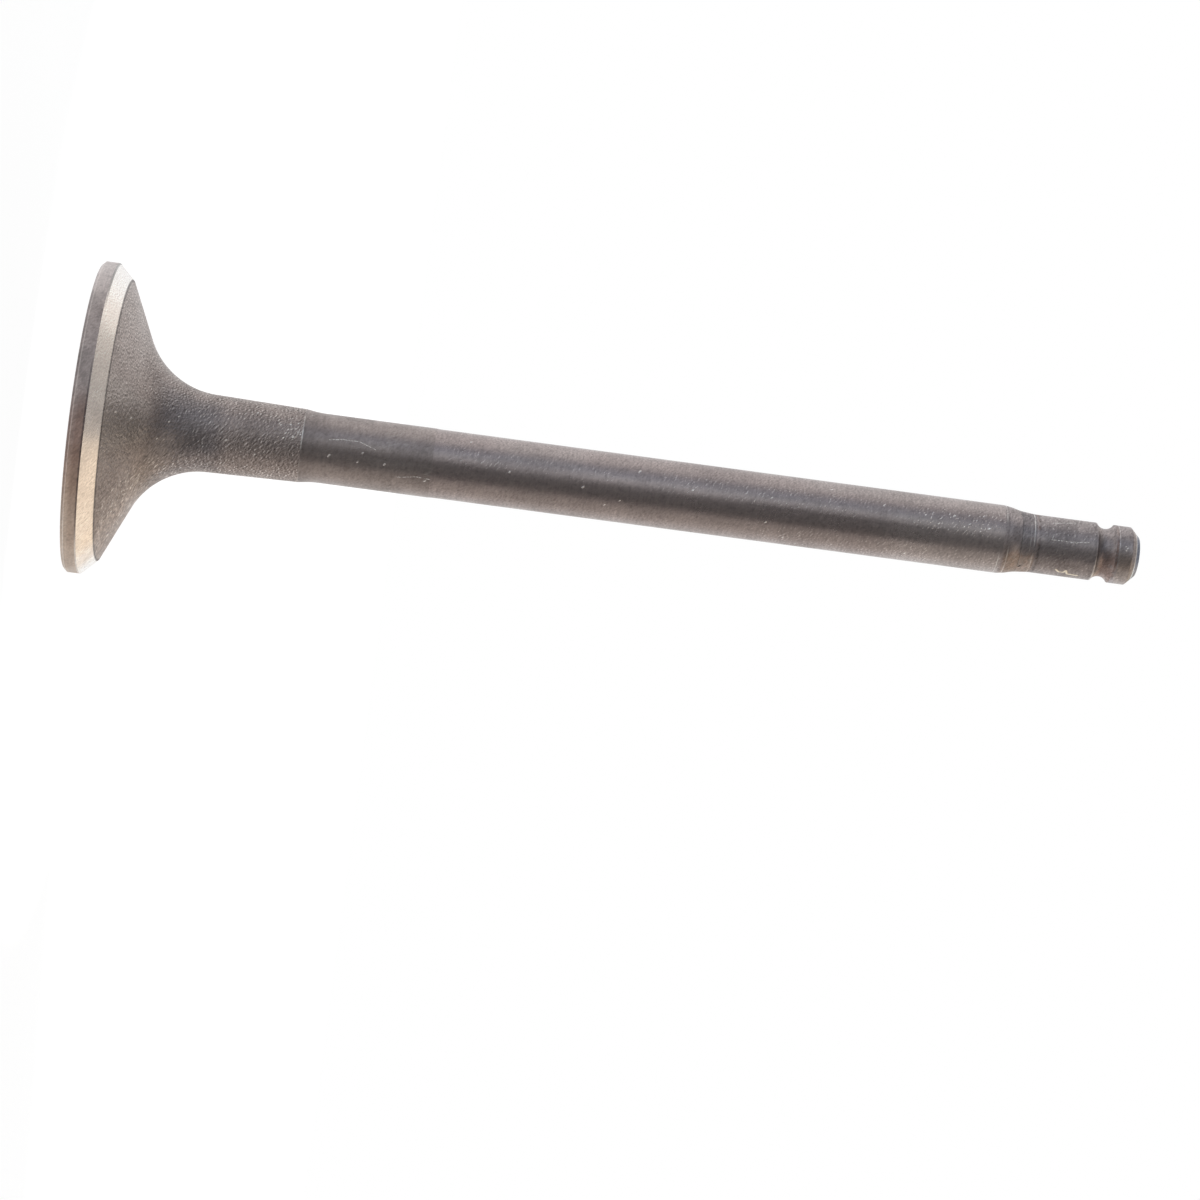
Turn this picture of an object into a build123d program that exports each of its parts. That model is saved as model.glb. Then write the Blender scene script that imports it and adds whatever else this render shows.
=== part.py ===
from build123d import *
from math import cos, dist, radians, sin, tan
import os

# Poppet valve of a small four-stroke engine, turned from one forging.
# The valve stands on its head: the combustion face lies at Z = 0 with the origin at
# its centre, and the stem rises along +Z. Millimetres; heights are above that face.

# ---- Whole valve
overall_length = 123.0

# ---- Head
head_diameter = 36.0
face_edge_chamfer = 0.35        # broken edge between the combustion face and the margin
margin_height = 1.8             # top of the cylindrical rim
seat_width = 2.4                # ground seat, measured along its cone
seat_angle = 45.0               # from the head's plane

# ---- Underhead and neck, left as forged and blasted
underhead_angle = 24.5          # cone behind the seat, measured from the head's plane
tulip_radius = 9.2              # sweep from that cone up into the neck
neck_height = 25.1              # where the turned stem begins
neck_end_diameter = 8.5
neck_taper = 1.35               # degrees, widening towards the head
neck_run_in_length = 1.55       # from the neck's edge down to the stem
neck_run_in_radius = 12.0

# ---- Stem
upper_stem_diameter = 8.04      # turned, runs outside the guide
upper_stem_end = 40.2
guide_stem_diameter = 7.96      # ground, runs in the guide
guide_stem_lead = 0.5           # short cone between the two diameters

# ---- Tip: lengths here are measured back from the tip's end face
tip_diameter = 6.78             # collet seat and tip land share it
tip_chamfer = 1.05
tip_land_length = 3.0           # end face to the keeper groove
groove_width = 2.15
groove_depth = 0.6
collet_seat_length = 7.2        # keeper groove to the end of the run-out

# ---- Run-out from the guide stem down to the collet seat, in three cones
break_length = 1.0              # easy cone that breaks the edge of the guide stem
relief_length = 1.0             # steeper cone after it
run_out_length = 1.85           # last gentle cone
break_share = 0.22              # how much of the step down each of the first two takes
relief_share = 0.47
break_blend_radius = 4.0
relief_blend_radius = 5.0

# ---- Heights and radii that follow from these
head_radius = head_diameter / 2
seat_inner_radius = head_radius - seat_width * cos(radians(seat_angle))
seat_top = margin_height + seat_width * sin(radians(seat_angle))
neck_end_radius = neck_end_diameter / 2
upper_stem_radius = upper_stem_diameter / 2
guide_stem_radius = guide_stem_diameter / 2
guide_stem_start = upper_stem_end + guide_stem_lead
tip_radius = tip_diameter / 2
chamfer_start = overall_length - tip_chamfer
groove_top = overall_length - tip_land_length
groove_bottom = groove_top - groove_width
run_out_end = groove_bottom - collet_seat_length
relief_end = run_out_end - run_out_length
break_end = relief_end - relief_length
guide_stem_end = break_end - break_length
step_down = guide_stem_radius - tip_radius
break_radius = guide_stem_radius - break_share * step_down
relief_radius = break_radius - relief_share * step_down


def tulip_corner():
    """Corner (radius, height) where the underhead cone would meet the neck's taper."""
    cone_slope = tan(radians(underhead_angle))
    taper_slope = tan(radians(neck_taper))
    reach = neck_height - seat_top - seat_inner_radius * cone_slope
    radius = (neck_end_radius + reach * taper_slope) / (1 - cone_slope * taper_slope)
    return radius, seat_top + (seat_inner_radius - radius) * cone_slope


def groove_radius():
    """Radius of the round groove that has the stated width and depth."""
    return (groove_width**2 / 4 + groove_depth**2) / (2 * groove_depth)


def body_corners():
    """Corners from the head's centre to the keeper groove, each with its blend radius."""
    return [
        ((0, 0), 0),
        ((head_radius - face_edge_chamfer, 0), 0),
        ((head_radius, face_edge_chamfer), 0),
        ((head_radius, margin_height), 0),
        ((seat_inner_radius, seat_top), 0),
        (tulip_corner(), tulip_radius),
        ((neck_end_radius, neck_height), 0),
        ((upper_stem_radius, neck_height + neck_run_in_length), neck_run_in_radius),
        ((upper_stem_radius, upper_stem_end), 0),
        ((guide_stem_radius, guide_stem_start), 0),
        ((guide_stem_radius, guide_stem_end), 0),
        ((break_radius, break_end), break_blend_radius),
        ((relief_radius, relief_end), relief_blend_radius),
        ((tip_radius, run_out_end), 0),
        ((tip_radius, groove_bottom), 0),
    ]


def fitted_blend(before, here, after):
    """Blend radius of a corner, cut down where its two sides are too short for it."""
    corner, blend = here
    room = min(dist(corner, end) / (2 if end_blend else 1) for end, end_blend in (before, after))
    turn = (Vector(corner) - Vector(before[0])).get_angle(Vector(after[0]) - Vector(corner))
    return min(blend, 0.95 * room / tan(radians(turn / 2))) if blend else 0


def half_section():
    """Closed outline of the valve on one side of its axis."""
    corners = body_corners()
    blends = [fitted_blend(*three) for three in zip(corners, corners[1:], corners[2:])]
    with BuildSketch(Plane.XZ) as section:
        with BuildLine():
            FilletPolyline(*[point for point, _ in corners], radius=blends)
            RadiusArc((tip_radius, groove_bottom), (tip_radius, groove_top), groove_radius())
            Polyline(
                (tip_radius, groove_top),
                (tip_radius, chamfer_start),
                (tip_radius - tip_chamfer, overall_length),
                (0, overall_length),
                (0, 0),
            )
        make_face()
    return section.sketch


def make_valve():
    """The whole valve, turned about its axis."""
    valve = revolve(half_section(), axis=Axis.Z, revolution_arc=360)
    valve.label = "valve"
    return valve


os.makedirs("parts", exist_ok=True)
export_step(make_valve(), "parts/valve.step")
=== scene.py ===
from functools import reduce
from math import acos, atan2, ceil, cos, pi, radians, sin, tan

import bpy
from bpy.props import FloatProperty, FloatVectorProperty, IntProperty, PointerProperty
from mathutils import Matrix, Vector


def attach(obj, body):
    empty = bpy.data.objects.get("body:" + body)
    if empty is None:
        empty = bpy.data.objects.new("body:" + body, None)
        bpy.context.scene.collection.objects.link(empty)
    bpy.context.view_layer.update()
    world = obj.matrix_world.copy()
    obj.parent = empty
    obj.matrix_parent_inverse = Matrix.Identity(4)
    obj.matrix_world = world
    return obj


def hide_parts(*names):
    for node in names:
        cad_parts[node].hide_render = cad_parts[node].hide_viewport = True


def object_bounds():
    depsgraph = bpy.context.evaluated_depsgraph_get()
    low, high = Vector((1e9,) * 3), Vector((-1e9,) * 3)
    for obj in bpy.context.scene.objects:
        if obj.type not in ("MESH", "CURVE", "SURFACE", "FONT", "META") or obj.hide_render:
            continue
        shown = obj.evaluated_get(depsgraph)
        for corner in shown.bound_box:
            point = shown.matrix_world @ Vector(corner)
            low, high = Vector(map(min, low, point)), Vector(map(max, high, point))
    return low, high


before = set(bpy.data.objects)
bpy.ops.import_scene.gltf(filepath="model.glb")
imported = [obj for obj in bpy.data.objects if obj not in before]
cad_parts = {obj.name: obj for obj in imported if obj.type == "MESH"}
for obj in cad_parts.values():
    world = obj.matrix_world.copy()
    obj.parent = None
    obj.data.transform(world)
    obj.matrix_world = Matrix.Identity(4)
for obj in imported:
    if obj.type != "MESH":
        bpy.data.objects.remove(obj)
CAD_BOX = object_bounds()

bl_info = {
    "name": "Engine valve",
    "version": (1, 0, 0),
    "blender": (4, 5, 0),
    "location": "View3D > Sidebar > Engine valve",
    "description": "Turns a poppet valve, finishes its steel and sets a pale studio round it",
    "category": "Object",
}

MM = 0.001
BOX_SIZE = Vector(CAD_BOX[1]) - Vector(CAD_BOX[0])


# ---------------------------------------------------------------- sizes and colours

def length(name, description, millimetres):
    return FloatProperty(name=name, description=description, default=millimetres * MM,
                         min=0.0, precision=5, unit="LENGTH", subtype="DISTANCE")


def angle(name, description, in_degrees):
    return FloatProperty(name=name, description=description, default=radians(in_degrees),
                         unit="ROTATION", subtype="ANGLE")


def share(name, description, value, highest=1.0):
    return FloatProperty(name=name, description=description, default=value,
                         min=0.0, max=highest, subtype="FACTOR")


def colour(name, description, red, green, blue):
    return FloatVectorProperty(name=name, description=description, default=(red, green, blue),
                               min=0.0, max=1.0, size=3, subtype="COLOR")


class ValveShape(bpy.types.PropertyGroup):
    """Sizes of the turned valve"""
    overall_length: length("Overall length", "Combustion face to tip", BOX_SIZE.z / MM)
    head_diameter: length("Head diameter", "Across the margin", min(BOX_SIZE.x, BOX_SIZE.y) / MM)
    face_edge_chamfer: length("Face edge chamfer", "Break between face and margin", 0.35)
    margin_height: length("Margin height", "Top of the margin above the face", 1.8)
    seat_width: length("Seat width", "Along the seat cone", 2.4)
    seat_angle: angle("Seat angle", "Seat cone from the face", 45.0)
    underhead_angle: angle("Underhead angle", "Back of the head from the face", 24.5)
    tulip_radius: length("Tulip radius", "Blend of head and neck", 9.2)
    neck_height: length("Neck height", "Where the blasted neck ends", 25.1)
    neck_end_diameter: length("Neck end diameter", "Across the step at the neck's end", 8.5)
    neck_taper: angle("Neck taper", "Slope of the neck's side", 1.35)
    run_in_length: length("Run-in length", "Step down from neck to stem", 1.55)
    run_in_radius: length("Run-in radius", "Blend at the foot of the step", 12.0)
    upper_stem_diameter: length("Upper stem diameter", "Unground stem under the neck", 8.04)
    upper_stem_end: length("Upper stem end", "Where grinding starts", 40.2)
    guide_stem_diameter: length("Guide stem diameter", "Ground stem that runs in the guide", 7.96)
    guide_stem_lead: length("Guide stem lead", "Step down on to the ground stem", 0.5)
    tip_diameter: length("Tip diameter", "Across the collet seat", 6.78)
    tip_chamfer: length("Tip chamfer", "Bevel of the tip", 1.05)
    tip_land_length: length("Tip land", "Groove to the end of the tip", 3.0)
    groove_width: length("Groove width", "Keeper groove along the stem", 2.15)
    groove_depth: length("Groove depth", "Keeper groove below the land", 0.6)
    collet_seat_length: length("Collet seat length", "Plain length below the groove", 7.2)
    break_length: length("Break length", "First fall of the run-out", 1.0)
    relief_length: length("Relief length", "Second fall of the run-out", 1.0)
    run_out_length: length("Run-out length", "Last fall of the run-out", 1.85)
    break_share: share("Break share", "Part of the step taken by the break", 0.22)
    relief_share: share("Relief share", "Part of the step taken by the relief", 0.47)
    break_blend_radius: length("Break blend", "Blend at the break", 4.0)
    relief_blend_radius: length("Relief blend", "Blend at the relief", 5.0)
    edge_round: length("Edge round", "Worn rounding of every turned edge", 0.05)
    forging_depth: length("Forging depth", "Height of the unevenness of the blasted neck", 0.03)
    forging_grain: length("Forging grain", "Width of that unevenness", 0.9)
    segments: IntProperty(name="Segments", description="Faces round the axis", default=256,
                          min=24, max=320)
    seed: IntProperty(name="Seed", description="Picks the pattern of the unevenness", default=7)


class ValveFinish(bpy.types.PropertyGroup):
    """Colours of the valve's steel, with the colours of its painted light, shade and reflections"""
    ground_steel: colour("Ground steel", "Stem where it runs in the guide", 0.43, 0.368, 0.358)
    dull_steel: colour("Dull steel", "Stem under the neck", 0.40, 0.345, 0.33)
    blasted_steel: colour("Blasted steel", "Neck and back of the head", 0.375, 0.32, 0.302)
    seat_steel: colour("Seat steel", "Fresh grinding of the seat", 1.0, 0.915, 0.85)
    margin_steel: colour("Margin steel", "Rim of the head", 0.445, 0.388, 0.377)
    # Painted warm reflection of the warm card, laid on the side of the head under it
    brown_film: colour("Brown film", "Light brown film on the warm side of the head",
                       0.50, 0.36, 0.265)
    orange_rust: colour("Orange rust", "Young rust in the run-out and the groove",
                        0.45, 0.26, 0.185)
    # Painted cool dark reflection of the dark and the bluish cards, on the camera side and the cool
    # side
    blue_film: colour("Blue film", "Cool dark film on the neck, the run-out and the tip",
                      0.13, 0.135, 0.155)
    face_steel: colour("Face steel", "Combustion face", 0.22, 0.20, 0.185)
    tip_steel: colour("Tip steel", "Collet seat, groove and tip", 0.465, 0.408, 0.402)
    # Bare steel of rubs and scratches, and the colour of painted highlights: glints, sparkles,
    # bright rings and lit zones
    bright_edge: colour("Bright edge", "Bare steel at rubbed edges and scratches",
                        0.95, 0.925, 0.89)
    # Bluish grey over the tip's bevel
    slate_film: colour("Slate film", "Blued bevel of the tip", 0.27, 0.32, 0.43)
    # Painted warm reflection of the warm card, on the side that faces it
    sand_film: colour("Sand film", "Light warm film on the warm side", 0.56, 0.45, 0.365)
    # Dark film in patches, pits and turning lines; in zones and dark rings it is painted shade and
    # dark reflection, and it darkens the grain's hollows
    soot: colour("Soot", "Dark film in hollows", 0.045, 0.042, 0.045)
    rust: colour("Rust", "Thin red-brown rust", 0.26, 0.125, 0.075)
    # Warm brown film in the seat's patches; on the side under the warm card it is painted warm
    # reflection
    straw: colour("Straw", "Warm brown film", 0.40, 0.325, 0.27)
    # Painted warm reflection on the seat's warm side
    seat_warm_reflection: colour("Seat warm reflection", "Faint warm tint on the seat", 1.0, 0.80, 0.60)
    # Painted cool highlight along the tip's bevel edge
    cold_edge: colour("Cold edge", "Bare bevel edge at the tip", 0.72, 0.86, 1.0)
    brass_rub: colour("Brass rub", "Golden rub mark by the collets", 1.0, 0.90, 0.74)


class StudioSettings(bpy.types.PropertyGroup):
    """Floor, cards, lamps and camera"""
    floor_colour: colour("Floor colour", "Pale floor", 0.92, 0.92, 0.92)
    grey_card_colour: colour("Grey card", "Card over the valve on its cool side", 0.53, 0.51, 0.49)
    dark_card_colour: colour("Dark card", "Card over the valve towards the camera",
                             0.20, 0.215, 0.245)
    pale_card_colour: colour("Pale card", "Card behind the grey card", 0.80, 0.765, 0.735)
    light_card_colour: colour("Light card", "Card beside the pale card", 0.97, 0.94, 0.91)
    warm_card_colour: colour("Warm card", "Card over the valve on its warm side", 1.0, 0.88, 0.735)
    card_radius: length("Card radius", "Cards from the valve's axis", 620.0)
    mat_radius: length("Mat radius", "Inner rim of the painted mat on the floor", 60.0)
    card_height: length("Card height", "Top of the cards above the floor", 520.0)
    world_level: share("World level", "Light of the room on plain surfaces", 0.70, 2.0)
    lamp_power: FloatProperty(name="Lamp power", description="Each soft lamp, in watts",
                              default=1.2, min=0.0, unit="POWER")
    floor_glow: share("Floor glow", "How far the seen floor turns to plain white", 0.80)
    glow_strength: share("Glow strength", "Brightness of that white", 1.22, 2.0)
    camera_distance: length("Camera distance", "Camera from the valve's axis", 400.0)
    camera_height: length("Camera height", "Camera above the floor", 40.089)
    camera_yaw: angle("Camera yaw", "Turn towards the tip", 3.0711)
    camera_pitch: angle("Camera pitch", "Turn across the stem", 1.8828)
    camera_roll: angle("Camera roll", "Roll that lays the valve across the view", -7.6253)
    camera_lens: FloatProperty(name="Lens", description="Focal length in millimetres",
                               default=103.585, min=10.0)


# ---------------------------------------------------------------- outline of the turned body

# Millimetres between the rings of each finish, from the face to the tip.
FINEST_STEP = {"turned_face": 1.3, "rim_margin": 0.35, "ground_seat": 0.35, "blasted_neck": 0.25,
               "upper_stem": 0.7, "guide_stem": 1.1, "run_out": 0.18, "collet_seat": 0.45,
               "keeper_groove": 0.2, "tip_land": 0.35, "tip_end": 0.5}
FINISHES = tuple(FINEST_STEP)
EDGE_STEP = 0.02 * MM            # between the rings of a rounded edge
SMALLEST_BEND = radians(1.5)     # corners flatter than this stay as they are
SIDE_SHARE = 0.8                 # how much of a corner's side its blend may take
FEWEST_STEPS = 3                 # of a rounding
SUPPORT_GAP = 0.06 * MM          # ring set beside a rounding, so that flats stay flat
SHORTEST_RUN = 6 * SUPPORT_GAP   # shorter runs have no room for such rings
ARC_STEPS_IN_GROOVE = 14


def turned_corners(shape):
    """Corners of the half outline, from face centre to tip centre.

    Each is radius, height, blend radius and the finish of the run that follows it.
    """
    head, neck_end = shape.head_diameter / 2, shape.neck_end_diameter / 2
    upper, guide = shape.upper_stem_diameter / 2, shape.guide_stem_diameter / 2
    tip, total = shape.tip_diameter / 2, shape.overall_length
    seat_inner = head - shape.seat_width * cos(shape.seat_angle)
    seat_top = shape.margin_height + shape.seat_width * sin(shape.seat_angle)
    cone_run = 1.0 / tan(shape.underhead_angle)
    taper = tan(shape.neck_taper)
    corner_z = ((seat_inner + seat_top * cone_run - neck_end - shape.neck_height * taper)
                / (cone_run - taper))
    corner_r = neck_end + (shape.neck_height - corner_z) * taper
    groove_top = total - shape.tip_land_length
    groove_low = groove_top - shape.groove_width
    run_out_end = groove_low - shape.collet_seat_length
    relief_end = run_out_end - shape.run_out_length
    break_end = relief_end - shape.relief_length
    break_r = guide - (guide - tip) * shape.break_share
    relief_r = break_r - (guide - tip) * shape.relief_share
    edge = shape.edge_round

    half_width = shape.groove_width / 2
    arc_radius = (half_width ** 2 + shape.groove_depth ** 2) / (2 * shape.groove_depth)
    arc_centre_r = tip - shape.groove_depth + arc_radius
    reach = atan2(half_width, arc_radius - shape.groove_depth)
    turns = [-reach + 2 * reach * step / ARC_STEPS_IN_GROOVE
             for step in range(1, ARC_STEPS_IN_GROOVE)]
    groove = [(arc_centre_r - arc_radius * cos(turn),
               groove_low + half_width + arc_radius * sin(turn), 0.0, "keeper_groove")
              for turn in turns]
    return [
        (0.0, 0.0, 0.0, "turned_face"),
        (head - shape.face_edge_chamfer, 0.0, edge, "rim_margin"),
        (head, shape.face_edge_chamfer, edge, "rim_margin"),
        (head, shape.margin_height, edge, "ground_seat"),
        (seat_inner, seat_top, edge, "blasted_neck"),
        (corner_r, corner_z, shape.tulip_radius, "blasted_neck"),
        (neck_end, shape.neck_height, edge, "upper_stem"),
        (upper, shape.neck_height + shape.run_in_length, shape.run_in_radius, "upper_stem"),
        (upper, shape.upper_stem_end, 0.0, "guide_stem"),
        (guide, shape.upper_stem_end + shape.guide_stem_lead, 0.0, "guide_stem"),
        (guide, break_end - shape.break_length, edge, "run_out"),
        (break_r, break_end, shape.break_blend_radius, "run_out"),
        (relief_r, relief_end, shape.relief_blend_radius, "run_out"),
        (tip, run_out_end, edge, "collet_seat"),
        (tip, groove_low, edge, "keeper_groove"),
        *groove,
        (tip, groove_top, edge, "tip_land"),
        (tip, total - shape.tip_chamfer, 2 * edge, "tip_land"),
        (tip - shape.tip_chamfer, total, 2 * edge, "tip_end"),
        (0.0, total, 0.0, "tip_end"),
    ]


def blend_points(before, here, after, blend):
    """Points of the arc that rounds a corner, or the corner alone."""
    way_back, way_on = (before - here).normalized(), (after - here).normalized()
    bend = pi - acos(max(-1.0, min(1.0, way_back.dot(way_on))))
    if blend <= 0.0 or bend < SMALLEST_BEND:
        return [here]
    reach = min(blend * tan(bend / 2), SIDE_SHARE * (before - here).length,
                SIDE_SHARE * (after - here).length)
    radius = reach / tan(bend / 2)
    centre = here + (way_back + way_on).normalized() * (radius / cos(bend / 2))
    arm = here + way_back * reach - centre
    side = 1 if arm.cross(here + way_on * reach - centre) > 0 else -1
    step_length = FINEST_STEP["blasted_neck"] * MM if blend > MM else EDGE_STEP
    steps = max(FEWEST_STEPS, ceil(radius * bend / step_length))
    return [centre + Matrix.Rotation(side * bend * step / steps, 2) @ arm
            for step in range(steps + 1)]


def turned_outline(shape):
    """Rows of the outline's points, each with the finish number of the run that follows."""
    corners = turned_corners(shape)
    spots = [Vector(corner[:2]) for corner in corners]
    pieces = [[spots[0]]]
    for number, (_, _, blend, _) in enumerate(corners[1:-1], 1):
        pieces.append(blend_points(*spots[number - 1:number + 2], blend))
    pieces.append([spots[-1]])
    numbers = [FINISHES.index(corner[3]) for corner in corners]
    rows = []
    for number, points in enumerate(pieces):
        for place, point in enumerate(points):
            past_middle = place >= len(points) // 2
            rows.append((point, numbers[number if past_middle else number - 1]))
        if number + 1 == len(pieces):
            break
        start, end = points[-1], pieces[number + 1][0]
        run = (end - start).length
        support = SUPPORT_GAP if run > SHORTEST_RUN else 0.0
        inner = run - 2 * support
        steps = max(1, ceil(inner / (FINEST_STEP[corners[number][3]] * MM)))
        for step in range(steps + 1) if support else range(1, steps):
            along = (support + inner * step / steps) / run
            rows.append((start.lerp(end, along), numbers[number]))
    return rows


# ---------------------------------------------------------------- node wiring

def open_socket(sockets, name):
    """The live socket of that number, or of that name with its spaces as underscores."""
    live = [socket for socket in sockets if socket.enabled]
    if isinstance(name, int):
        return live[name]
    wanted = name.replace("_", " ").lower()
    return next(socket for socket in live if socket.name.lower() == wanted)


class Signal:
    """A node's output. Sums with it put the nodes that work them out."""

    def __init__(self, wiring, socket):
        self.wiring, self.socket = wiring, socket
        self.plain = socket.type not in ("VECTOR", "RGBA")

    def __add__(self, other):
        return (self.wiring.math if self.plain else self.wiring.vector)("ADD", self, other)

    def __sub__(self, other):
        return (self.wiring.math if self.plain else self.wiring.vector)("SUBTRACT", self, other)

    def __rsub__(self, other):
        return self.wiring.math("SUBTRACT", other, self)

    def __mul__(self, other):
        if self.plain:
            return self.wiring.math("MULTIPLY", self, other)
        return self.wiring.vector("SCALE", self, scale=other)

    def __truediv__(self, other):
        return self.wiring.math("DIVIDE", self, other)

    def __rtruediv__(self, other):
        return self.wiring.math("DIVIDE", other, self)


class Wiring:
    """Adds nodes to a tree, with their inputs given as values or as signals."""

    def __init__(self, tree):
        self.tree = tree

    def feed(self, node, name, value):
        socket = open_socket(node.inputs, name)
        if isinstance(value, Signal):
            value = value.socket
        if isinstance(value, bpy.types.NodeSocket):
            self.tree.links.new(value, socket)
        else:
            socket.default_value = (*value, 1.0) if socket.type == "RGBA" else value

    def put(self, kind, output=0, settings=None, values=(), **inputs):
        """A new node, fed in order and by name; gives its output of that name or number."""
        node = self.tree.nodes.new(kind)
        for key, value in (settings or {}).items():
            setattr(node, key, value)
        for name, value in (*enumerate(values), *inputs.items()):
            self.feed(node, name, value)
        return Signal(self, open_socket(node.outputs, output))

    def given(self):
        """The tree's own inputs."""
        sockets = self.tree.nodes.new("NodeGroupInput").outputs
        return [Signal(self, socket) for socket in sockets if socket.name]

    def math(self, operation, *values, clamp=False):
        settings = {"operation": operation, "use_clamp": clamp}
        return self.put("ShaderNodeMath", 0, settings, values)

    def vector(self, operation, *values, **inputs):
        return self.put("ShaderNodeVectorMath", 0, {"operation": operation}, values, **inputs)

    def spread(self, value, low, high, to_low=0.0, to_high=1.0):
        """Smooth step of value from low..high to to_low..to_high."""
        return self.put("ShaderNodeMapRange", 0, {"interpolation_type": "SMOOTHSTEP"}, value=value,
                        from_min=low, from_max=high, to_min=to_low, to_max=to_high)

    def noise(self, vector, scale, detail=2.0, rough=0.5):
        return self.put("ShaderNodeTexNoise", 0, {"noise_dimensions": "3D"}, vector=vector,
                        scale=scale, detail=detail, roughness=rough)

    def tint(self, share_of_b, a, b):
        return self.put("ShaderNodeMix", 0, {"data_type": "RGBA"}, factor=share_of_b, a=a, b=b)

    def split(self, vector):
        node = self.put("ShaderNodeSeparateXYZ", vector=vector).socket.node
        return [Signal(self, socket) for socket in node.outputs]

    def join(self, x, y, z):
        return self.put("ShaderNodeCombineXYZ", x=x, y=y, z=z)


def make_group(name, outputs, inputs, wire):
    """A shader group whose first input is the place; a default of None stands for a vector."""
    tree = bpy.data.node_groups.new(name, "ShaderNodeTree")
    for key, default in {"place": None, **inputs}.items():
        kind = "Vector" if default is None else "Color" if isinstance(default, tuple) else "Float"
        socket = tree.interface.new_socket(name=key.replace("_", " ").capitalize(),
                                           in_out="INPUT", socket_type="NodeSocket" + kind)
        if default is not None:
            socket.default_value = (*default, 1.0) if kind == "Color" else default
    for key in outputs.split():
        kind = "NodeSocketColor" if key == "Color" else "NodeSocketFloat"
        tree.interface.new_socket(name=key, in_out="OUTPUT", socket_type=kind)
    w = Wiring(tree)
    made = wire(w, *w.given())
    result = tree.nodes.new("NodeGroupOutput")
    for place, signal in enumerate(made if isinstance(made, tuple) else (made,)):
        w.feed(result, place, signal)
    return tree


def effect(name, outputs, **inputs):
    """Makes a function that wires an effect into one that puts its group into a material.

    The group is made the first time, and every finish shares it.
    """
    def shared(wire):
        def use(w, *values):
            node = w.tree.nodes.new("ShaderNodeGroup")
            node.node_tree = (bpy.data.node_groups.get(name)
                              or make_group(name, outputs, inputs, wire))
            for place, value in enumerate(values):
                w.feed(node, place, value)
            signals = [Signal(w, socket) for socket in node.outputs]
            return signals if len(signals) > 1 else signals[0]
        return use
    return shared


# ---------------------------------------------------------------- effects shared by the finishes
# Places are in millimetres, heights of relief in metres. Noise keeps near 0.5, mostly between
# 0.3 and 0.7, so the two bounds of a spread say where in it a mask begins and where it is full.

STROKE_WAY = (0.0, -0.83, 0.55)      # the grain's short strokes lie along this
STROKE_LIT = (0.0, 0.55, 0.83)       # and are lit from the side this leaves
STROKE_DRAW = -0.56                  # how far the strokes are drawn out
STROKE_SHIFT = 0.45                  # of a grain, between the two looks that give a slope
COARSER, BROADER = 0.55, 0.12        # the coarse part of the grain, and its drifts of glints
FINER = 9.0                          # the mottle's fine clouds against its patches
NICK_LONG, NICK_WIDE = 0.48, 1.05    # a nick is longer one way than the other
HAIRLINE_SPOTS = 0.45                # per millimetre, the patches where hairlines show


@effect("Mottled steel", "Color Patches", steel=(0.3, 0.3, 0.3), film=(0.2, 0.2, 0.2),
        patch_size=3.0, film_share=0.5, fine_share=0.15)
def mottle(w, place, steel, film, patch_size, film_share, fine_share):
    """Steel clouded over with patches of film, and lighter and darker in fine clouds."""
    per_mm = 1.0 / patch_size
    patches = w.spread(w.noise(place, per_mm, 4.0, 0.6), 0.36, 0.66)
    fine = w.noise(place, per_mm * FINER, 3.0, 0.65)
    coloured = w.tint(patches * film_share, steel, film)
    return coloured * ((fine - 0.5) * (fine_share * 4.0) + 1.0), patches


@effect("Blast grain", "Height Light Glints Sparks Hollows",
        grain_size=0.3, depth=0.01, glint_share=0.1)
def grain(w, place, grain_size, depth, glint_share):
    """Blasted grain: its height, painted light and shade on its slopes, painted glints and sparks,
    and hollows.
    """
    per_mm = 1.0 / grain_size
    along = w.vector("DOT_PRODUCT", place, STROKE_WAY) * STROKE_DRAW
    strokes = place + w.vector("SCALE", STROKE_WAY, scale=along)
    shift = w.vector("SCALE", STROKE_LIT, scale=grain_size * STROKE_SHIFT)
    here = w.noise(strokes, per_mm)
    light = w.noise(strokes + shift, per_mm) - here
    broad = w.noise(place, per_mm * BROADER, 2.0, 0.6)
    bar = (broad - 0.5) * -0.25 + (0.42 - glint_share * 0.30)      # glints come in drifts
    glints = w.spread(light, bar, bar + 0.10)
    sparks = w.spread(light, 0.125, 0.21)
    mixed = w.noise(place, per_mm * COARSER) * 0.6 + here * 0.4
    return (mixed - 0.5) * (depth * MM), light, glints, sparks, w.spread(mixed, 0.5, 0.36)


@effect("Turning lines", "Height Lines", line_spacing=0.3, depth=0.002, waver=0.03)
def turning(w, place, line_spacing, depth, waver):
    """Fine lines round the axis, as the turning tool or the wheel leaves them."""
    x, y, z = w.split(place)
    lines = w.noise(w.join(x * waver, y * waver, z), 1.0 / line_spacing, 3.0, 0.65)
    return (lines - 0.5) * (depth * MM), w.spread(lines, 0.3, 0.7)


@effect("Facing side", "Mask", turn=0.0, start=0.0, full=1.0)
def facing(w, place, turn, start, full):
    """The side of the round that faces a turn, between two cosines off it."""
    x, y, _ = w.split(place)
    x, y, _ = w.split(w.vector("NORMALIZE", w.join(x, y, 0.0)))
    return w.spread(x * w.math("COSINE", turn) + y * w.math("SINE", turn), start, full)


@effect("Rust bloom", "Mask", low=0.0, high=1.0, softness=0.3, patch_size=0.6, cover=0.5)
def bloom(w, place, low, high, softness, patch_size, cover):
    """A patchy band between two heights."""
    patchy = w.noise(place, 1.0 / patch_size, 4.0, 0.65)
    height = w.split(place)[2] + (patchy - 0.5) * softness
    rise = w.spread(height, low - softness, low)
    fall = w.spread(height, high, high + softness, 1.0, 0.0)
    bar = (1.0 - cover) * 0.6
    return rise * fall * w.spread(patchy, bar + 0.12, bar + 0.36)


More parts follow.
